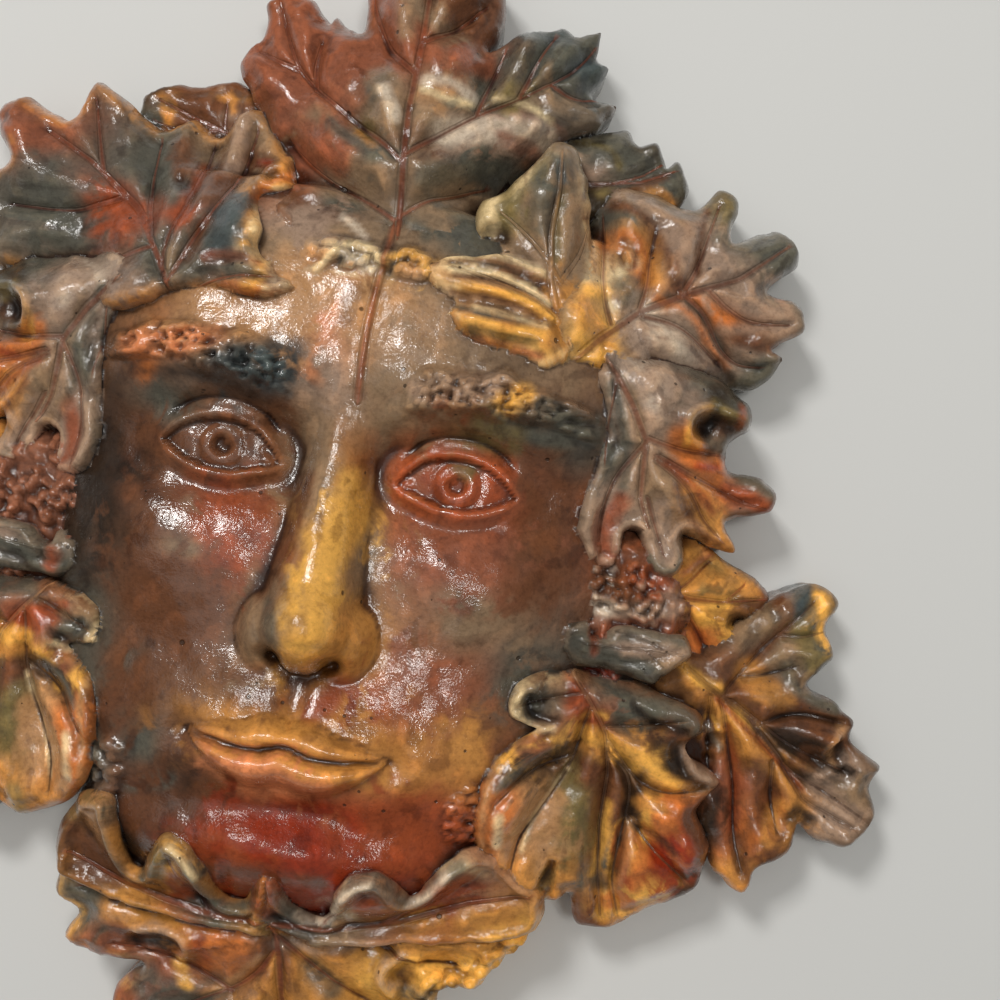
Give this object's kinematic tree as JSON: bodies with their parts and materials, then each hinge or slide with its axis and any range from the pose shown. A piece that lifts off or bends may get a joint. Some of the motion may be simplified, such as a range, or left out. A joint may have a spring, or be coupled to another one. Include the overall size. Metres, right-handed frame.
{
  "type": "green man wall mask",
  "caption": "Cast relief mask of a calm face framed by lobed oak-like leaves, with a flat back, in swirled autumn colours under a gloss varnish.",
  "frame": {"origin": "on the flat back, behind the bridge of the nose", "axes": "+X to the viewer's right across the mask, +Y to the crown leaf's tip, +Z out of the face"},
  "size_m": [0.207, 0.212, 0.048],
  "materials": {
    "varnished_cast": "gloss"
  },
  "bodies": {
    "root": {"green_man_mask": "varnished_cast"}
  },
  "joints": []
}
